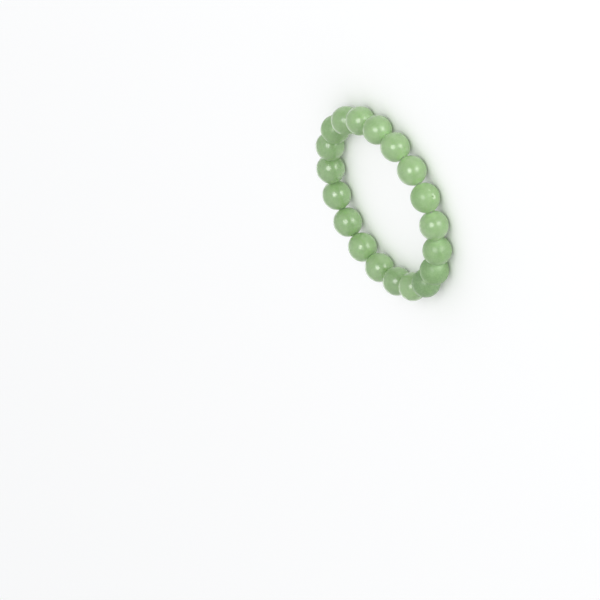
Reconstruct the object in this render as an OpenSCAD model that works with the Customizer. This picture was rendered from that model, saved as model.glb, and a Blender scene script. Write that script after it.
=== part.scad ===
// Beaded stretch bracelet: round polished stone beads, drilled through and threaded
// on one closed loop of clear elastic cord. It lies flat on a table, as it rests by
// itself when it isn't in use.
// Lengths are in millimetres. +Z is up, Z = 0 is the table top, and the Z axis runs
// through the middle of the loop. The first bead is on +X and the rest follow
// anticlockwise.

/* [Beads] */
// Diameter of every round bead
bead_d = 10; // [8:0.5:12]
// Number of beads round the loop
bead_count = 19; // [16:1:23]
// Gap between neighbouring beads, which the elastic pulls all but shut
bead_gap = 0.1; // [0.05:0.05:0.3]

/* [Drilling] */
// Width of the bevel that breaks the edge at each mouth of the drilling
mouth_bevel = 0.15; // [0.1:0.05:0.5]

/* [Cord] */
// Diameter of the elastic cord
cord_d = 0.7; // [0.5:0.1:1]
// Room between the cord and the drilling, all round and at its tightest place
cord_clearance = 0.05; // [0.05:0.05:0.3]

/* [Natural pit] */
// Number of the bead that has a small natural pit in its polished face
pit_bead = 15; // [1:1:16]
// Width of the pit across its rim
pit_w = 2; // [1:0.1:2.6]
// Depth of the pit below its rim
pit_depth = 0.2; // [0.1:0.05:0.4]
// Turn of the pit round the bead, from straight outward, anticlockwise from above
pit_turn = 0; // [-40:1:40]
// Height angle of the pit on the bead, from level, up
pit_tilt = -5; // [-60:1:60]

/* [Hidden] */
$fn = 96;
bead_r = bead_d / 2;
bead_colour = [0.62, 0.74, 0.56];
cord_colour = [0.90, 0.93, 0.90];

// The bead centres stand on a circle, a bead and a gap apart, at half a bead's height
bead_pitch = 360 / bead_count;
ring_r = (bead_d + bead_gap) / (2 * sin(bead_pitch / 2));
mid_z = bead_r;

// The drillings are straight and the cord is round, so the cord runs half its bow
// outside the middle of each drilling and half its bow inside the mouths
mouth_r = norm([ring_r, bead_r]);
cord_ring_r = (ring_r + mouth_r) / 2;
cord_bow = mouth_r - cord_ring_r;
bore_r = cord_d / 2 + cord_bow + cord_clearance;

// Where the straight bore ends and its bevel starts, from the middle of the bead
bevel_start = sqrt(pow(bead_r, 2) - pow(bore_r, 2)) - mouth_bevel;
// Half the length of the cutting tool, which comes out clear of the bead
cutter_end = bead_r + 1;
cutter_r = bore_r + cutter_end - bevel_start;

// A pit is a shallow cap of a ball that reaches into the bead
pit_rim = sqrt(pow(bead_r, 2) - pow(pit_w / 2, 2));
pit_ball_r = (pow(pit_w / 2, 2) + pow(pit_depth, 2)) / (2 * pit_depth);
pit_ball_x = pit_rim - pit_depth + pit_ball_r;

function bead_name(i) = str("bead_", i < 10 ? "0" : "", i);

// Straight bore along Y with a 45 degree bevel at both mouths
module drilling() {
    rotate([90, 0, 0])
    rotate_extrude()
    polygon([
        [0, -cutter_end],
        [cutter_r, -cutter_end],
        [bore_r, -bevel_start],
        [bore_r, bevel_start],
        [cutter_r, cutter_end],
        [0, cutter_end]
    ]);
}

// Small round hollow in the face that points along +X before its turn and tilt
module pit() {
    rotate([0, -pit_tilt, pit_turn])
    translate([pit_ball_x, 0, 0])
    sphere(r = pit_ball_r);
}

// One polished ball, drilled along the loop
module bead(i) {
    color(bead_colour)
    rotate([0, 0, (i - 1) * bead_pitch])
    translate([ring_r, 0, mid_z])
    difference() {
        sphere(r = bead_r);
        drilling();
        if (i == pit_bead) pit();
    }
}

// The whole loop of elastic, through every bead
module elastic_cord() {
    color(cord_colour)
    translate([0, 0, mid_z])
    rotate_extrude()
    translate([cord_ring_r, 0])
    circle(d = cord_d);
}

for (i = [1 : bead_count]) {
    bead(i);
}
elastic_cord();
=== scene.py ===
# %% [markdown]
# # A stretch bracelet of pale green stone beads
# The bracelet is a loop of round polished balls, each drilled through its middle and
# threaded on clear elastic. It lies flat on a table. This lesson dresses the solids of
# the construction model: every ball and the cord get a finer surface worked out with
# numpy, a stone and an elastic made of shader nodes, soft studio light and a camera.
# Lengths are in metres unless a name says otherwise.

import math

import bpy
import numpy as np
from mathutils import Matrix, Vector


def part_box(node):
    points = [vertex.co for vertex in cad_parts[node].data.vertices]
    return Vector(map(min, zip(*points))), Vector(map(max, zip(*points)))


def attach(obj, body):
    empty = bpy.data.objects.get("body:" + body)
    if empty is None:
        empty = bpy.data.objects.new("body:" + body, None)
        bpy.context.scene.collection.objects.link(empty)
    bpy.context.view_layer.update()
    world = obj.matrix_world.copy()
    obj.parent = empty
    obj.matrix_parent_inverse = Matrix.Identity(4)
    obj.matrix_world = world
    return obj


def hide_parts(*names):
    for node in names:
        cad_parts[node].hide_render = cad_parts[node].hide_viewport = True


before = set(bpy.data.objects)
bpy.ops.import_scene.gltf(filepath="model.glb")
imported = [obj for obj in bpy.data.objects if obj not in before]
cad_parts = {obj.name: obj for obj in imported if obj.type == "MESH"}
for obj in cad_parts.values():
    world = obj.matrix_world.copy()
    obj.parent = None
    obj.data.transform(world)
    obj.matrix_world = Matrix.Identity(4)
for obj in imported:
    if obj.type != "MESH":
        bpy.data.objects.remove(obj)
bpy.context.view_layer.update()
mm = 0.001
scene = bpy.context.scene

# %% [markdown]
# ## The string of beads, measured
# The beads could be placed by typing their centres in, but then a changed solid would
# leave them behind. All that the scene needs is read from the solids instead: a ball
# stands on the table, so its height is its diameter, and the farthest point of all from
# the upright axis is one ball radius beyond the circle of the centres.


# %% Measure the beads and the circle they stand on
def corners_of(node):
    """All vertices of a solid as rows of x, y and z."""
    flat = np.empty(len(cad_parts[node].data.vertices) * 3)
    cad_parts[node].data.vertices.foreach_get("co", flat)
    return flat.reshape(-1, 3)


bead_nodes = sorted(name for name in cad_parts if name.startswith("bead_"))
bead_r = (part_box(bead_nodes[0])[1].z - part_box(bead_nodes[0])[0].z) / 2
reach = max(np.hypot(*corners_of(name)[:, :2].T).max() for name in bead_nodes)
ring_r = reach - bead_r
bead_pitch = 2 * math.pi / len(bead_nodes)
cord_low, cord_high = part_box("elastic_cord")
cord_r = (cord_high.z - cord_low.z) / 2
print(f"{len(bead_nodes)} beads of {2 * bead_r / mm:.2f} mm on a circle of {ring_r / mm:.2f} mm radius")
print(f"cord of {2 * cord_r / mm:.2f} mm")


def bead_axes(number):
    """Centre of a bead and its own directions: outward, along the string, and up."""
    angle = number * bead_pitch
    outward = np.array([math.cos(angle), math.sin(angle), 0])
    along = np.array([-math.sin(angle), math.cos(angle), 0])
    up = np.array([0, 0, 1.0])
    return ring_r * outward + bead_r * up, outward, along, up


# %% [markdown]
# ## The direction of view
# The picture to match looks down on the plane of the loop from 26 degrees, with the camera
# turned about its line of sight, so that the near side of the loop bulges to the right.
# The camera could be set by eye in the viewport. Three angles say the same and can be
# changed one at a time. The directions that they give are kept, because the lamps will be
# placed by what the camera sees.


# %% Work out the direction of view
camera_azimuth = math.radians(3.73)
camera_elevation = math.radians(26.44)
camera_roll = math.radians(115.93)

back = Vector((
    math.sin(camera_azimuth) * math.cos(camera_elevation),
    -math.cos(camera_azimuth) * math.cos(camera_elevation),
    math.sin(camera_elevation),
))
level = Vector((math.cos(camera_azimuth), math.sin(camera_azimuth), 0))
steep = back.cross(level)
right = math.cos(camera_roll) * level - math.sin(camera_roll) * steep
up = math.sin(camera_roll) * level + math.cos(camera_roll) * steep


def from_picture(x, y, z):
    """World direction of a direction given as right, up and towards the camera."""
    return right * x + up * y + back * z


print("towards the camera:", [round(c, 3) for c in back])

# %% [markdown]
# ## The camera
# The loop lies off the middle of the picture. A camera could be aimed at the loop and
# shifted, but a shift stays on in every other view. So the camera is aimed a little beside
# the loop, at the middle of the picture. It stands two metres away, as for a product
# photograph, and the lens is as long as the spacing of the beads in the picture asks for.

# %% Set up the camera
camera_distance = 2.02
picture_px = 600
loop_centre_px = (382.9, 203.3)
bead_spacing = 2 * ring_r * math.sin(bead_pitch / 2)
bead_spacing_px = 29.836
pixel = bead_spacing / bead_spacing_px

loop_centre = Vector((0, 0, bead_r))
middle = picture_px / 2
aim = loop_centre + from_picture(
    (middle - loop_centre_px[0]) * pixel,
    (loop_centre_px[1] - middle) * pixel,
    0,
)
camera_place = loop_centre + back * camera_distance
backward = (camera_place - aim).normalized()
upward = (up - backward * up.dot(backward)).normalized()
sideways = upward.cross(backward)
facing_aim = Matrix((sideways, upward, backward)).transposed().to_4x4()

lens = bpy.data.cameras.new("photo_camera")
lens.lens = lens.sensor_width * (camera_place - aim).length / (picture_px * pixel)
lens.clip_start = 0.1
lens.clip_end = 60
camera = bpy.data.objects.new("photo_camera", lens)
camera.matrix_world = Matrix.Translation(camera_place) @ facing_aim
scene.collection.objects.link(camera)
scene.camera = camera
print(f"lens {lens.lens:.0f} mm, picture {picture_px * pixel / mm:.0f} mm wide at the loop")

# %% [markdown]
# ## The table
# The loop lies on something plain, pale and matt. A small board would show its edge and a
# horizon. The table is one big square that fills the view from every side, painted just
# below pure white, so that shadows still show on it.

# %% Lay the table
table_size = 24.0
table_white = 0.912
table_mesh = bpy.data.meshes.new("table")
half = table_size / 2
corners = [(-half, -half, 0), (half, -half, 0), (half, half, 0), (-half, half, 0)]
table_mesh.from_pydata(corners, [], [(0, 1, 2, 3)])
table = bpy.data.objects.new("table", table_mesh)
scene.collection.objects.link(table)

paint = bpy.data.materials.new("white_table")
paint.use_nodes = True
paint_shader = paint.node_tree.nodes["Principled BSDF"]
paint_shader.inputs["Base Color"].default_value = (table_white, table_white, table_white, 1)
paint_shader.inputs["Roughness"].default_value = 0.9
paint_shader.inputs["Specular IOR Level"].default_value = 0.0
table_mesh.materials.append(paint)
print(f"table {table_size:.0f} m wide")

# %% [markdown]
# ## The room
# Polished stone shows its surroundings, so the light is half of the finish. The ground is
# an almost even white and the shadows on it are faint, as in a room with white walls and a
# brighter ceiling. An image of a studio would do, but a climb in strength from the
# horizon to the ceiling is all that these beads can show.

# %% Light the room
wall_light = 0.52
ceiling_light = 1.04
room_white = (0.985, 0.992, 1.0, 1)
world = bpy.data.worlds.new("white_room")
world.use_nodes = True
room = world.node_tree
direction = room.nodes.new("ShaderNodeTexCoord").outputs["Generated"]
split = room.nodes.new("ShaderNodeSeparateXYZ")
climb = room.nodes.new("ShaderNodeMapRange")
climb.inputs["To Min"].default_value = wall_light
climb.inputs["To Max"].default_value = ceiling_light
room.links.new(direction, split.inputs[0])
room.links.new(split.outputs["Z"], climb.inputs["Value"])
room.links.new(climb.outputs[0], room.nodes["Background"].inputs["Strength"])
room.nodes["Background"].inputs["Color"].default_value = room_white
scene.world = world
scene.view_settings.view_transform = "Standard"
print("light from the horizon", wall_light, "and from above", ceiling_light)

# %% [markdown]
# ## Two soft lamps
# Each bead shows the lamps as a pair of soft spots: one just left of its middle, one farther
# right and a little up. A mirror ball shows a lamp where its surface points halfway
# between lamp and camera, so the two spots give the two directions. The lamps hang 3 m
# away, so that they light the table evenly. The second comes in from below table height.
# The table could hide it, so that lamp is told that only the beads block its light.


# %% Hang the two lamps
lamp_distance = 3.0


def hang(name, toward, shape, wide, high, brightness):
    """An area light that shines at the loop. One of brightness b and area a gives pi a b watts."""
    data = bpy.data.lights.new(name, "AREA")
    data.shape = shape
    data.size = wide
    data.size_y = high
    area = wide * high * (math.pi / 4 if shape == "DISK" else 1)
    data.energy = math.pi * area * brightness
    thing = bpy.data.objects.new(name, data)
    thing.location = loop_centre + toward * lamp_distance
    thing.rotation_mode = "QUATERNION"
    thing.rotation_quaternion = toward.to_track_quat("Z", "Y")
    thing.visible_camera = False
    scene.collection.objects.link(thing)
    print(f"{name} at {[round(c, 2) for c in thing.location]} m, {data.energy:.1f} W")
    return thing


def lamp(name, spot, half_angle, brightness):
    """A round lamp that a mirror ball shows at the spot, given as shares of its radius.

    The surface there points along n, and the lamp lies at 2 (n.v) n - v, where v points
    to the camera."""
    normal = Vector((spot[0], spot[1], math.sqrt(1 - spot[0] ** 2 - spot[1] ** 2)))
    toward = from_picture(*(2 * normal.z * normal - Vector((0, 0, 1))))
    width = 2 * lamp_distance * math.tan(math.radians(half_angle))
    return hang(name, toward, "DISK", width, width, brightness)


lamp("left_lamp", spot=(-0.16, 0.01), half_angle=17, brightness=3.9)
right_lamp = lamp("right_lamp", spot=(0.325, 0.115), half_angle=14, brightness=6.6)
beads_only = bpy.data.collections.new("blocks_right_lamp")
right_lamp.light_linking.blocker_collection = beads_only

# %% [markdown]
# ## A panel behind
# Thin pale rims line the beads at the lower left, where the surface is almost edge on and
# reflects what stands behind it. A brighter room would lift everything. A wide, low panel
# far behind, a few degrees above the table, gives just those rims.

# %% Stand the panel behind
panel_climb = math.tan(math.radians(7))
behind = Vector((-back.x, -back.y, panel_climb * math.hypot(back.x, back.y))).normalized()
hang("back_panel", behind, "RECTANGLE", wide=2.6, high=0.6, brightness=1.4)

# %% [markdown]
# ## A surface from a grid
# Every new piece here closes on itself in both directions, like a ring: round the bead
# and along its outline, or round the cord and along the loop. So one helper turns any
# such grid of points into a mesh with no seam, pole or open edge. It also keeps the two
# parameters as a UV map, in which each goes from 0 to 1 once round.


# %% Make a mesh from a grid that closes both ways
def closed_surface(name, points):
    """Joins point (i, j) to (i + 1, j) and (i, j + 1), and the last row and column to the first."""
    rows, columns = points.shape[:2]
    index = np.arange(rows * columns).reshape(rows, columns)
    next_row = np.roll(index, -1, 0)
    faces = np.stack([index, next_row, np.roll(next_row, -1, 1), np.roll(index, -1, 1)], -1)
    mesh = bpy.data.meshes.new(name)
    mesh.from_pydata(points.reshape(-1, 3), [], faces.reshape(-1, 4))
    mesh.shade_smooth()

    i, j = np.indices((rows, columns))
    u = np.stack([i, i + 1, i + 1, i], -1) / rows
    v = np.stack([j, j, j + 1, j + 1], -1) / columns
    mesh.uv_layers.new(name="two_ways").data.foreach_set("uv", np.stack([u, v], -1).ravel())
    piece = bpy.data.objects.new(name, mesh)
    scene.collection.objects.link(piece)
    return piece


def store(piece, name, values):
    """Keeps one number or one vector for each vertex under a name that a material can read."""
    kind, field = ("FLOAT", "value") if values.ndim == 1 else ("FLOAT_VECTOR", "vector")
    layer = piece.data.attributes.new(name, kind, "POINT")
    layer.data.foreach_set(field, values.astype(np.float32).ravel())


# %% [markdown]
# ## Is a mesh closed, and does it face outwards?
# A surface that is inside out renders almost the same, but it fails when it is cut, printed
# or weighed. One number tells: the signed volume inside it. It is positive where the faces
# point outwards, and it is the size of the real thing where the surface is closed.


# %% Measure the volume inside a mesh
def volume_of(piece):
    """Sum of a . (b x c) / 6 over the triangles, the signed tetrahedra that each makes with
    the origin."""
    piece.data.calc_loop_triangles()
    corners = np.empty(len(piece.data.loop_triangles) * 3, int)
    piece.data.loop_triangles.foreach_get("vertices", corners)
    places = np.empty(len(piece.data.vertices) * 3)
    piece.data.vertices.foreach_get("co", places)
    a, b, c = places.reshape(-1, 3)[corners.reshape(-1, 3)].transpose(1, 0, 2)
    return float(np.einsum("ij,ij->", a, np.cross(b, c)) / 6)


for node in (bead_nodes[0], "elastic_cord"):
    print("solid", node, f"{volume_of(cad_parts[node]) / mm**3:.1f} mm3")

# %% [markdown]
# ## The outline of a drilled ball
# A real bead is ground round, drilled, and tumbled, so the sharp edge at each mouth of
# the drilling is worn round. A ball with a hole cut by a boolean would have a hard edge
# and long thin faces there. The outline is drawn instead: a big arc, a small arc over
# the lip, the straight wall of the drilling, and the other lip. Turned about the
# drilling, it gives an even mesh that flows into the hole.


# %% Draw the outline
bore_r = np.hypot(*(corners_of(bead_nodes[0]) - bead_axes(0)[0]).T[[0, 2]]).min()
lip_r = 0.12 * mm
lip_steps = 8
wall_steps = 11
print(f"drilling of {2 * bore_r / mm:.2f} mm")


def gather(steps, share, middle_at=0.5):
    """Even steps x from 0 to 1 drawn together at m: x - share * sin(2 pi (x - m)) / 2 pi."""
    return steps - share / (2 * math.pi) * np.sin(2 * math.pi * (steps - middle_at))


def drilled_ball_outline(arc_steps, gathered=0.0):
    """Distance along the drilling and distance from it, round the closed outline.

    The big arc is radius times (cos, sin) of its angle from the drilling. The lip is an
    arc of lip_r whose centre lies lip_r from both the ball and the wall of the drilling."""
    lip_from_axis = bore_r + lip_r
    lip_along = math.sqrt((bead_r - lip_r) ** 2 - lip_from_axis**2)
    start = math.atan2(lip_from_axis, lip_along)
    arc = start + (math.pi - 2 * start) * gather(np.linspace(0, 1, arc_steps), gathered)
    lip = np.linspace(0, 1, lip_steps + 1)
    far_lip = math.pi - start + (start + math.pi / 2) * lip[1:]
    near_lip = -math.pi / 2 + (start + math.pi / 2) * lip[1:-1]
    wall = np.linspace(-lip_along, lip_along, wall_steps + 1)[1:]
    along = np.concatenate([
        bead_r * np.cos(arc),
        -lip_along + lip_r * np.cos(far_lip),
        wall,
        lip_along + lip_r * np.cos(near_lip),
    ])
    away = np.concatenate([
        bead_r * np.sin(arc),
        lip_from_axis + lip_r * np.sin(far_lip),
        np.full(len(wall), bore_r),
        lip_from_axis + lip_r * np.sin(near_lip),
    ])
    on_ball = np.concatenate([np.ones(len(arc)), 1 - lip[1:], np.zeros(len(wall)), lip[1:-1]])
    return along, away, on_ball


# %% [markdown]
# ## Which bead has the pit?
# One bead has a small natural pit in its face. Its place could be typed in again, but the
# solids know it already: it is where the vertices of a bead lie below the ball.


# %% Find the pit in the solids
least_depth = 0.02 * mm


def hollow_of(number, node):
    """Direction, rim radius and depth of a hollow in a bead's face, in the bead's own axes.

    Its vertices lie below the ball and clear of the drilling, and the direction is their
    mean, each weighed by its depth. None if there are none."""
    centre, *axes = bead_axes(number)
    local = (corners_of(node) - centre) @ np.array(axes).T
    below = bead_r - np.linalg.norm(local, axis=1)
    inside = (below > least_depth) & (np.hypot(local[:, 0], local[:, 2]) > 2 * bore_r)
    if not inside.any():
        return None
    toward = (local * below[:, None])[inside].sum(0)
    toward /= np.linalg.norm(toward)
    rim = np.linalg.norm(np.cross(local[inside], toward), axis=1).max()
    return toward, rim, below[inside].max()


hollows = {node: hollow_of(number, node) for number, node in enumerate(bead_nodes)}
pitted_node, (pit_toward, pit_rim, pit_depth) = next((k, v) for k, v in hollows.items() if v)
print(f"pit in {pitted_node}: {2 * pit_rim / mm:.2f} mm wide, {pit_depth / mm:.2f} mm deep")

# %% [markdown]
# ## A ball that isn't perfect
# No stone ball is perfectly round: polishing leaves it a few hundredths of a millimetre
# out, which bends the lamps' reflections a little differently on every bead. Noise would
# roughen the surface. Three slow waves across the ball leave it smooth.


# %% Shape the wobble
wobble_depth = 0.03 * mm
wave_rates = (2.2, 3.3, 4.4)
print(f"out of round by {wobble_depth / mm:.2f} mm at most")


def wobble(directions, phases):
    """How far each point sinks below the true ball: the mean of three slow sine waves, one
    along each axis, each with its rate in radians per radius and its phase."""
    waves = [rate * np.roll(directions, k, -1)[..., 0] + phases[k] for k, rate in enumerate(wave_rates)]
    return wobble_depth * (1 + np.mean(np.sin(waves), 0)) / 2


# %% [markdown]
# ## Places on a ball
# A mark on the ball is easiest to draw on a flat sheet laid against it. One helper gives
# the sheet's two distances from a place, and another says how near a point is to the rim
# of a round mark, whose edge is uneven, as a chip's is.


# %% Draw on the ball
rim_waves = ((0.6, 2, 1.0), (0.5, 3, 2.4), (0.3, 7, 0.0))


def facing(turn, tilt):
    """Direction in a bead's own outward, along and up axes."""
    return np.array([math.cos(tilt) * math.cos(turn), math.cos(tilt) * math.sin(turn), math.sin(tilt)])


def flat_map(directions, centre):
    """Distances along the string and upwards from a place on the ball, laid flat there."""
    side = np.cross((0, 0, 1.0), centre)
    side /= np.linalg.norm(side)
    near = np.where(directions @ centre > 0, 1.0, np.inf)
    return directions @ side * bead_r * near, directions @ np.cross(centre, side) * bead_r * near


def rim_share(x, y, width, uneven=0.0):
    """0 in the middle of a round mark and 1 at its rim, whose radius swells and shrinks
    with the angle by three sine waves, each with its height, its count and its phase."""
    angle = np.arctan2(y, x)
    swell = sum(height * np.sin(count * angle + phase) for height, count, phase in rim_waves)
    return np.hypot(x, y) / (width / 2 * (1 + uneven * swell))


# %% [markdown]
# ## The pit
# The pit could be a bump in the material, but a pit catches light on its far wall and is
# dark in its middle, so it is real relief: a shell-shaped chip with an uneven outline, and
# a small hole in it, off to one side.


# %% Shape the pit
chip_share, hole_share = 0.6, 0.45
chip_uneven, hole_uneven = 0.2, 0.15
hole_width = 0.42 * mm
hole_offset = 0.12 * mm
hole_side = math.radians(94)
toward_hole = np.array([math.cos(hole_side), math.sin(hole_side)])
print(f"hole {hole_width / mm:.2f} mm wide in a chip of {2 * pit_rim / mm:.2f} mm")


def chip(share):
    """Depth of a shell-shaped chip, (1 - s^2)^0.8 at the share s of the way to its rim."""
    return np.clip(1 - share**2, 0, 1) ** 0.8


def pit_hollow(x, y):
    """Shares of the way to the rims of the chip and of the hole, and the depth, which adds
    the two."""
    share = rim_share(x, y, 2 * pit_rim, chip_uneven)
    hole_x, hole_y = hole_offset * toward_hole
    hole = rim_share(x - hole_x, y - hole_y, hole_width, hole_uneven)
    return share, hole, pit_depth * (chip_share * chip(share) + hole_share * chip(hole))


# %% [markdown]
# ## What surrounds the pit
# The wall across from the hole is white, as quartz is where crushing broke it, and it also
# carries a painted glint. The hole gets painted shade, the polish around is dull, and a
# pale fleck lies beside it. The material could draw all this by the distance from a typed
# place. But the place is known here already, so each mark is worked out with the shape,
# for the vertices to carry.


# %% Mark what surrounds the pit
# The pale ring on the pit's far wall is quartz whitened by crushing, and a painted glint.
bruise_glint_side = math.radians(-104)
bruise_glint_at, bruise_glint_spread = 0.64, 0.3
hole_shade_reach = 0.8
dull_width = 2.4 * mm
dull_offset = 6 * hole_offset
fleck_width = 0.7 * mm
fleck_uneven = 0.3
fleck_strength = 0.5
fleck_place = facing(math.radians(27.5), math.radians(-2.5))
print(f"polish lost over {dull_width / mm:.1f} mm, beside it a fleck of {fleck_width / mm:.1f} mm")


def pit_marks(directions):
    """Depth, whitening with its painted glint, painted shade in the hole, and lost polish at each
    point.

    The whitening is a ring part of the way to the rim, which fades round to the far side by
    the root of (1 + cos) / 2; it is quartz whitened by crushing, and a painted glint. The
    painted shade fills the hole, and the polish is lost over a wider bell."""
    x, y = flat_map(directions, pit_toward)
    share, hole, depth = pit_hollow(x, y)
    bruise_glint_fade = np.sqrt((np.cos(np.arctan2(y, x) - bruise_glint_side) + 1) / 2)
    ring = np.exp(-(((share - bruise_glint_at) / bruise_glint_spread) ** 2)) * bruise_glint_fade
    fleck = rim_share(*flat_map(directions, fleck_place), fleck_width, fleck_uneven)
    bruise_and_glint = np.maximum(ring, fleck_strength * np.exp(-(fleck**2)))
    # Painted shade: the pit's hole is darkened where shade falls in it.
    hole_shade = np.exp(-((hole / hole_shade_reach) ** 4))
    dull_x, dull_y = dull_offset * toward_hole
    beside = rim_share(x - dull_x, y - dull_y, dull_width)
    dull = np.maximum(np.exp(-(beside**2)), np.exp(-(share**4)))
    return depth, bruise_and_glint, hole_shade, dull


# %% [markdown]
# ## One bead's shape
# The outline is turned about the drilling. The solids keep a gap, but real beads are pulled
# together until they touch, and rub small flats on each other. Two plain balls that touch
# would meet in a point. So the ball is drawn out by a few hundredths along the string, and
# what would reach past the plane halfway to a neighbour is laid flat a hair before it.


# %% Turn and press the outline
stretch = 1.028
hair_gap = 0.002 * mm
plane_from_centre = bead_spacing / 2 - hair_gap
flat_r = bead_r * math.sqrt(1 - (plane_from_centre / (stretch * bead_r)) ** 2)
print(f"flats about {2 * flat_r / mm:.1f} mm wide")


def turned(outline, round_steps, gathered, first_turn):
    """Distance (away cos t, along, away sin t) in a bead's own axes, for turns t all round."""
    along, away = outline
    turns = first_turn + 2 * math.pi * gather(np.arange(round_steps) / round_steps, gathered, 0)
    level_shape = np.broadcast_to(along, (round_steps, len(along)))
    return np.stack([np.outer(np.cos(turns), away), level_shape, np.outer(np.sin(turns), away)], -1)


def pressed(local):
    """Points beyond the plane to a neighbour move back to it along its normal, which leans
    inwards by half the angle between two beads."""
    local = local * (1, stretch, 1)
    for side in (-1, 1):
        normal = np.array([-math.sin(bead_pitch / 2), side * math.cos(bead_pitch / 2), 0])
        beyond = np.maximum(local @ normal - plane_from_centre, 0)
        local = local - beyond[..., None] * normal
    return local


# %% [markdown]
# ## No two beads alike
# The beads come from one stone, but some are polished less and some are deeper in colour.
# Random numbers do for the beads that nobody has seen. Those that show in the picture have
# values of their own, because its dull beads and its deep ones lie next to each other.
# The deepest values, on beads 10 to 12, are painted shade: they darken those beads as if a
# shadow lay on them.

# %% Choose each bead's polish and depth of green
chance = np.random.default_rng(1907)
polish_of_bead = chance.uniform(0.85, 1.0, len(bead_nodes))
duller_beads = {0: 0.75, 1: 0.45, 10: 0.35, 11: 0.22, 12: 0.5, 14: 0.40, 17: 0.8}
polish_of_bead[list(duller_beads)] = list(duller_beads.values())

tone_and_shade_of_bead = chance.uniform(0.0, 0.4, len(bead_nodes))
# Beads 10 to 12 are darkened as painted shade; the rest differ in tone.
tone_and_shade_from_bead_10_on = (1.0, 0.65, 0.4, 0.15, 0.15, 0.0, 0.08, 0.08, 0.0)
tone_and_shade_of_bead[10:] = tone_and_shade_from_bead_10_on
print("polish from", polish_of_bead.min().round(2), "to", polish_of_bead.max().round(2))

# %% [markdown]
# ## The surface of one bead
# The outline is turned, then sunk by the wobble and the pit, then pressed. One even grid
# for all beads would be too coarse for the pit or too heavy for the rest. So the pitted
# bead has more steps, drawn together round the pit.


# %% Work out one bead's surface
round_and_arc = (112, 72)
pitted_round_and_arc = (288, 200)
pitted_gathering = 0.75


def bead_surface(node):
    """Points in the bead's own axes: direction times (distance - sink), pressed. Also how
    much of each is on the ball, the pit's whitening with its painted glint, the painted
    shade in the pit's hole, and the lost polish."""
    pitted = node == pitted_node
    round_steps, arc_steps = pitted_round_and_arc if pitted else round_and_arc
    gathered = pitted_gathering if pitted else 0.0
    first_turn = math.atan2(pit_toward[2], pit_toward[0]) if pitted else 0.0
    *outline, on_ball = drilled_ball_outline(arc_steps, gathered)
    local = turned(outline, round_steps, gathered, first_turn)
    directions = local / np.linalg.norm(local, axis=-1, keepdims=True)
    depth, bruise_and_glint, hole_shade, dull = pit_marks(directions) if pitted else np.zeros((4, *local.shape[:2]))
    sink = (wobble(directions, chance.uniform(0, 2 * math.pi, 3)) + depth) * on_ball
    return pressed(local - directions * sink[..., None]), on_ball, bruise_and_glint, hole_shade, dull


# %% [markdown]
# ## What each bead carries with it
# Each bead is cut from its own place in the rough stone, so clouds must not run on from
# one bead into the next. A texture in world space would do just that. So every vertex
# carries its place in the rough: its place in the bead, turned at random and moved to a
# random spot. Other values say how well it is polished, where it is raw, where its pit is
# whitened with a painted glint, where its pit's hole gets painted shade, how deep its
# green is, on some beads as painted shade, and how near the drilling is, where painted
# light makes the stone paler to lift the shade in the joints between beads.


# %% Make one bead
drilled_reach_mm = 2.0
polish_lost = 0.75
rough_stone_mm = 400


def stone_bead(number, node):
    """The surface in its place on the string: centre + x outward + y along + z up. The
    painted light at the drilling, a paler colour that lifts the shade in the joints between
    beads, falls off as exp(-(d / reach)^2), d from the drilling."""
    local, on_ball, bruise_and_glint, hole_shade, dull = bead_surface(node)
    centre, *axes = bead_axes(number)
    piece = closed_surface(f"stone_{node}", centre + local @ np.array(axes))
    turn = np.linalg.qr(chance.normal(size=(3, 3)))[0]
    from_drilling_mm = np.hypot(local[..., 0], local[..., 2]) / mm
    rough_place_mm = (local.reshape(-1, 3) @ turn) / mm + chance.uniform(0, rough_stone_mm, 3)
    store(piece, "rough_place_mm", rough_place_mm)
    store(piece, "polish", (polish_of_bead[number] * on_ball**2 * (1 - polish_lost * dull)).ravel())
    store(piece, "raw", np.broadcast_to(1 - on_ball**2, dull.shape).ravel())
    # Painted light: the stone is made paler near the drilling, where the joints between beads are
    # shaded.
    store(piece, "drilled", np.exp(-((from_drilling_mm / drilled_reach_mm) ** 2)).ravel())
    # Whitened quartz at the pit and the pale fleck, with a painted glint.
    store(piece, "bruise_and_glint", bruise_and_glint.ravel())
    # Painted shade in the pit's hole.
    store(piece, "hole_shade", hole_shade.ravel())
    # Depth of green per bead; on beads 10 to 12 it is painted shade.
    store(piece, "depth", np.full(dull.size, tone_and_shade_of_bead[number]))
    return piece


# %% [markdown]
# ## Nineteen beads
# Each bead takes the place of its solid. The beads are also what blocks the second lamp's
# light.

# %% Make all the beads
beads = []
for number, node in enumerate(bead_nodes):
    bead = stone_bead(number, node)
    beads_only.objects.link(bead)
    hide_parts(node)
    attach(bead, "root")
    beads.append(bead)
pitted_bead = beads[bead_nodes.index(pitted_node)]
for bead in (beads[0], pitted_bead):
    print(bead.name, f"{volume_of(bead) / mm**3:.1f} mm3, {len(bead.data.polygons)} faces")

# %% [markdown]
# ## The elastic
# The solid of the cord is a plain ring. Under tension a real cord runs straight through
# each drilling and bends in the gaps between beads. That is a polygon with soft corners,
# so the path is the polygon's formula with its corners smoothed by a running mean, and
# a round section is carried along it.


# %% Carry the cord's section along its path
softening = 3


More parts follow.
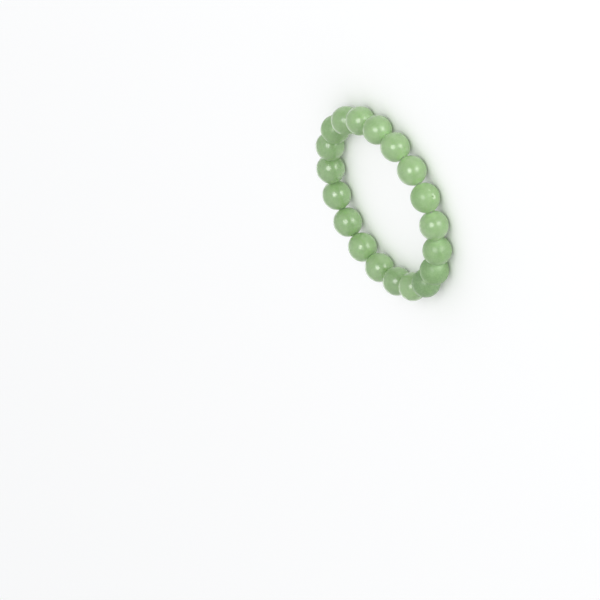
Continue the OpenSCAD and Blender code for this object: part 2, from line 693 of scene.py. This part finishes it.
def cord_loop(steps_per_bead, section_steps):
    """Path radius: the drilling's distance from the middle over the cosine of the angle from
    the nearest bead, averaged over a few steps each way. The section adds cord_r in a
    direction that goes once round."""
    count = steps_per_bead * len(bead_nodes)
    angle = 2 * math.pi * np.arange(count) / count
    from_bead = (angle + bead_pitch / 2) % bead_pitch - bead_pitch / 2
    path = ring_r / np.cos(from_bead)
    path = np.mean([np.roll(path, k) for k in range(-softening, softening + 1)], 0)
    section = 2 * math.pi * np.arange(section_steps) / section_steps - math.pi / 2
    distance = path[:, None] + cord_r * np.cos(section)
    height = bead_r + cord_r * np.sin(section)
    return np.stack([
        distance * np.cos(angle)[:, None],
        distance * np.sin(angle)[:, None],
        np.broadcast_to(height, distance.shape),
    ], -1)


cord = closed_surface("elastic_loop", cord_loop(steps_per_bead=32, section_steps=20))
beads_only.objects.link(cord)
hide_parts("elastic_cord")
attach(cord, "root")
print("cord volume", round(volume_of(cord) / mm**3, 1), "mm3, faces", len(cord.data.polygons))

# %% [markdown]
# ## Recipes of shader nodes
# A node tree is wordy to build one property at a time. It could be put together with the
# mouse, but then nobody could read it here. One helper adds a node with all its inputs,
# and four more name the nodes that a stone needs most.


# %% Name the nodes used most
def add(tree, kind, inputs=None, **settings):
    """Adds a node. An input is a socket of another node, which gets linked, or a plain value."""
    node = tree.nodes.new(kind)
    for key, value in settings.items():
        setattr(node, key, value)
    for key, value in (inputs or {}).items():
        if isinstance(value, bpy.types.NodeSocket):
            tree.links.new(value, node.inputs[key])
        else:
            node.inputs[key].default_value = value
    return node


def math_node(tree, operation, a, b=0.0, clamp=False):
    """One sum on two numbers."""
    return add(tree, "ShaderNodeMath", {0: a, 1: b}, operation=operation, use_clamp=clamp).outputs[0]


def mix(tree, factor, a, b):
    """Colour a where the factor is 0, and b where it is 1."""
    node = add(tree, "ShaderNodeMix", {0: factor, 6: a, 7: b}, data_type="RGBA")
    return node.outputs[2]


def ramp(tree, value, low, high, first=0.0, last=1.0):
    """A smooth climb from first to last while the value goes from low to high."""
    inputs = {"Value": value, "From Min": low, "From Max": high, "To Min": first, "To Max": last}
    return add(tree, "ShaderNodeMapRange", inputs, interpolation_type="SMOOTHSTEP").outputs[0]


def noise(tree, place, scale, detail=3.0, rough=0.5, bend=0.0):
    """A cloudy value around 0.5."""
    inputs = {"Vector": place, "Scale": scale, "Detail": detail, "Roughness": rough, "Distortion": bend}
    return add(tree, "ShaderNodeTexNoise", inputs).outputs["Fac"]


# %% [markdown]
# ## Effects that two materials share
# Stone and elastic are both rubbed dull in places. An effect like that is built once, as
# a node group with named sockets, and placed in each material with its own values.


# %% Start a node group
def new_group(name, inputs, outputs):
    """An empty node group with its sockets, and its two end nodes."""
    tree = bpy.data.node_groups.new(name, "ShaderNodeTree")
    for title, kind in inputs.items():
        tree.interface.new_socket(title, in_out="INPUT", socket_type=kind)
    for title in outputs:
        tree.interface.new_socket(title, in_out="OUTPUT", socket_type="NodeSocketFloat")
    return tree, tree.nodes.new("NodeGroupInput").outputs, tree.nodes.new("NodeGroupOutput").inputs


number_in = "NodeSocketFloat"
vector_in = "NodeSocketVector"

# %% [markdown]
# ## Clouds and grains inside the stone
# Pale green stone of this kind is a mass of tiny quartz grains, milky where they are
# dense and clearer between, with a few healed cracks and dark specks. A picture of stone
# would need an image and would stretch over the ball. Noise in three dimensions cuts
# through the bead as the saw cuts the rough, so nothing stretches. A healed crack is where
# one more noise passes through its middle value, which is a thin sheet in space, and it
# shows only in patches.


# %% Group for the inside of the stone
def from_middle(tree, value):
    """How far a noise's value lies from its middle, 0.5."""
    return math_node(tree, "ABSOLUTE", math_node(tree, "SUBTRACT", value, 0.5))


clouds, given, put = new_group(
    "stone_inside",
    {"Place": vector_in, "Cloud Size": number_in, "Grain Size": number_in},
    ["Milk", "Veins", "Grains", "Fine"],
)
cloud_scale = math_node(clouds, "DIVIDE", 1.0, given["Cloud Size"])
grain_scale = math_node(clouds, "DIVIDE", 1.0, given["Grain Size"])
milk = noise(clouds, given["Place"], cloud_scale, detail=4.0, rough=0.55, bend=0.8)
clouds.links.new(ramp(clouds, milk, 0.32, 0.68), put["Milk"])

crack_scale = math_node(clouds, "MULTIPLY", cloud_scale, 0.7)
crack = noise(clouds, given["Place"], crack_scale, detail=2.0, rough=0.4, bend=1.2)
thin = ramp(clouds, from_middle(clouds, crack), 0.0, 0.016, first=1.0, last=0.0)
patch_scale = math_node(clouds, "MULTIPLY", cloud_scale, 0.5)
patch = ramp(clouds, noise(clouds, given["Place"], patch_scale), 0.5, 0.62)
clouds.links.new(math_node(clouds, "MULTIPLY", thin, patch), put["Veins"])

cells = add(clouds, "ShaderNodeTexVoronoi", {"Vector": given["Place"], "Scale": grain_scale})
speck = ramp(clouds, cells.outputs["Distance"], 0.10, 0.22, first=1.0, last=0.0)
lot = add(clouds, "ShaderNodeSeparateColor", {0: cells.outputs["Color"]}).outputs[0]
one_in_seven = math_node(clouds, "GREATER_THAN", lot, 0.86)
clouds.links.new(math_node(clouds, "MULTIPLY", speck, one_in_seven), put["Grains"])
fine = noise(clouds, given["Place"], grain_scale, detail=3.0, rough=0.6)
clouds.links.new(fine, put["Fine"])
print(clouds.name, len(clouds.nodes), "nodes")

# %% [markdown]
# ## Polish and fine wear
# Polish is never even: the surface undulates by microns, carries hairline scratches and is
# duller in patches. The same wear is on the elastic, only finer, so it is a group that
# both materials use. A hairline is a stretched noise near its middle value.

# %% Group for polish and wear
wear, given, put = new_group(
    "polish_wear",
    {"Place": vector_in, "Size": number_in, "Scratches": number_in},
    ["Dull", "Height"],
)
wear_scale = math_node(wear, "DIVIDE", 1.0, given["Size"])
patches = noise(wear, given["Place"], wear_scale, detail=3.0, rough=0.6, bend=0.4)
wear.links.new(ramp(wear, patches, 0.4, 0.75), put["Dull"])

lengthways = {"Vector": given["Place"], "Rotation": (0.5, 0.8, 0.3), "Scale": (1.0, 14.0, 1.0)}
stretched = add(wear, "ShaderNodeMapping", lengthways).outputs[0]
scratch = from_middle(wear, noise(wear, stretched, wear_scale, detail=2.0))
hairline = ramp(wear, scratch, 0.0, 0.012, first=-1.0, last=0.0)
grooves = math_node(wear, "MULTIPLY", hairline, given["Scratches"])
ripple_scale = math_node(wear, "MULTIPLY", wear_scale, 0.6)
ripple = noise(wear, given["Place"], ripple_scale, detail=2.0)
wear.links.new(math_node(wear, "ADD", grooves, ripple), put["Height"])
print(wear.name, len(wear.nodes), "nodes")

# %% [markdown]
# ## What the stone material reads
# The material starts with what each bead carries, and puts the place in the rough through
# both groups: clouds about 5 mm wide, grains of half a millimetre, and wear in patches
# of 2 mm.

# %% Start the stone material
stone = bpy.data.materials.new("milky_green_stone")
stone.use_nodes = True
tree = stone.node_tree
shader = tree.nodes["Principled BSDF"]
place = add(tree, "ShaderNodeAttribute", attribute_name="rough_place_mm").outputs["Vector"]
marks = ("polish", "raw", "drilled", "bruise_and_glint", "hole_shade", "depth")
polish, raw, drilled, bruise_and_glint, hole_shade, depth = (
    add(tree, "ShaderNodeAttribute", attribute_name=name).outputs["Fac"] for name in marks
)
inside = add(tree, "ShaderNodeGroup", {}, node_tree=clouds)
tree.links.new(place, inside.inputs["Place"])
inside.inputs["Cloud Size"].default_value = 5.0
inside.inputs["Grain Size"].default_value = 0.55
worn = add(tree, "ShaderNodeGroup", {}, node_tree=wear)
tree.links.new(place, worn.inputs["Place"])
worn.inputs["Size"].default_value = 2.2
worn.inputs["Scratches"].default_value = 0.15
print("read from each vertex: its place in the rough,", ", ".join(marks))

# %% [markdown]
# ## The stone's colours
# One green would look like plastic. The body goes between a clearer and a milkier green,
# deeper in some beads and on others darkened as painted shade, with sugary grains, pale
# veins and dark specks in it. Round the drilling it is made paler as painted light in the
# shaded joints, its raw wall is chalky, and the pit is whitened by crushing, with a
# painted glint on it and painted shade in its hole. Each is one more layer in a list, from
# the broadest to the smallest.

# %% Mix the stone's colours
clear_green = (0.211, 0.358, 0.136, 1)
milky_green = (0.254, 0.404, 0.174, 1)
deep_green_and_shade = (0.143, 0.264, 0.098, 1)
pale_vein = (0.33, 0.48, 0.25, 1)
sugary = (0.280, 0.428, 0.206, 1)
dark_speck = (0.14, 0.28, 0.10, 1)
painted_joint_light = (0.56, 0.78, 0.45, 1)
chalky = (0.66, 0.80, 0.56, 1)
crushed_and_glint = (0.50, 0.63, 0.415, 1)
painted_hole_shade = (0.07, 0.11, 0.05, 1)

body = mix(tree, inside.outputs["Milk"], clear_green, milky_green)
for mask, share, colour in (
    # Deeper green per bead; on beads 10 to 12 it is painted shade.
    (depth, 1.0, deep_green_and_shade),
    (inside.outputs["Veins"], 0.2, pale_vein),
    (ramp(tree, inside.outputs["Fine"], 0.35, 0.7), 0.4, sugary),
    (inside.outputs["Grains"], 0.3, dark_speck),
    # Painted light: paler stone near the drilling lifts the shade in the joints.
    (drilled, 0.8, painted_joint_light),
    (raw, 0.7, chalky),
    # Whitened quartz at the pit, partly a painted glint.
    (bruise_and_glint, 1.0, crushed_and_glint),
    # Painted shade: the pit's hole darkened.
    (hole_shade, 0.75, painted_hole_shade),
):
    body = mix(tree, math_node(tree, "MULTIPLY", mask, share), body, colour)
tree.links.new(body, shader.inputs["Base Color"])
print("colour made with", len(tree.nodes), "nodes")

# %% [markdown]
# ## The stone's polish
# The polish is a clear coat over the stone, whose mirror-like share grows at the rim of
# each bead. A plain low roughness would give the glints but not the soft glow round them,
# which comes from the rougher stone below. The coat is missing in the raw drilling and
# thin at the pit, where the fine grain makes the surface frosty.

# %% Set the stone's polish
smoothest, dullest = 0.27, 0.35
unpolished_adds = 0.3
unpolished = math_node(tree, "SUBTRACT", 1.0, polish)
gloss = ramp(tree, worn.outputs["Dull"], 0.0, 1.0, smoothest, dullest)
roughness = math_node(tree, "ADD", gloss, math_node(tree, "MULTIPLY", unpolished, unpolished_adds))
tree.links.new(roughness, shader.inputs["Roughness"])
tree.links.new(polish, shader.inputs["Coat Weight"])
shader.inputs["Coat Roughness"].default_value = 0.15
shader.inputs["Coat IOR"].default_value = 1.6
shader.inputs["IOR"].default_value = 1.6

frost = math_node(tree, "MULTIPLY", unpolished, inside.outputs["Fine"])
relief = math_node(tree, "ADD", worn.outputs["Height"], frost)
bump = add(tree, "ShaderNodeBump", {"Height": relief, "Strength": 0.25, "Distance": 0.03 * mm})
tree.links.new(bump.outputs[0], shader.inputs["Normal"])
print(f"roughness from {smoothest} where polished to {dullest + unpolished_adds:.2f} where raw")

# %% [markdown]
# ## Light inside the stone
# Milky stone lets light in and scatters it back a millimetre or two away, which lifts
# its shadows and softens its edge. That is subsurface scattering, green reaching farthest.
# Glass-like transmission would make the bead look like a sweet, and plain diffuse like
# painted wood.

# %% Let light into the stone
shader.inputs["Subsurface Weight"].default_value = 0.85
shader.inputs["Subsurface Radius"].default_value = (0.8, 1.0, 0.6)
shader.inputs["Subsurface Scale"].default_value = 2.6 * mm
for bead in beads:
    bead.data.materials.append(stone)
print("stone on", len(beads), "beads")

# %% [markdown]
# ## The elastic material
# Elastic of this kind is clear when new and whitish where it is rubbed, with faint lines
# along it. A pattern that fills space would run straight on where the cord bends, so this
# one reads the cord's UV map, which goes along it and round it. It is partly see-through,
# so that it takes on the green of the beads beside it.

# %% Elastic material
elastic = bpy.data.materials.new("clear_elastic")
elastic.use_nodes = True
tree = elastic.node_tree
shader = tree.nodes["Principled BSDF"]
uv = add(tree, "ShaderNodeUVMap", uv_map="two_ways").outputs[0]
spread = add(tree, "ShaderNodeMapping", {"Vector": uv, "Scale": (60.0, 6.0, 1.0)}).outputs[0]
worn = add(tree, "ShaderNodeGroup", {}, node_tree=wear)
tree.links.new(spread, worn.inputs["Place"])
worn.inputs["Size"].default_value = 0.8
worn.inputs["Scratches"].default_value = 0.4
fresh = (0.86, 0.92, 0.82, 1)
rubbed = (0.76, 0.84, 0.72, 1)
strand = mix(tree, worn.outputs["Dull"], fresh, rubbed)
tree.links.new(strand, shader.inputs["Base Color"])
tree.links.new(ramp(tree, worn.outputs["Dull"], 0.0, 1.0, 0.2, 0.4), shader.inputs["Roughness"])
lines = {"Height": worn.outputs["Height"], "Strength": 0.3, "Distance": 0.02 * mm}
bump = add(tree, "ShaderNodeBump", lines)
tree.links.new(bump.outputs[0], shader.inputs["Normal"])
shader.inputs["IOR"].default_value = 1.48
shader.inputs["Transmission Weight"].default_value = 0.4
cord.data.materials.append(elastic)
print("elastic on", cord.name)
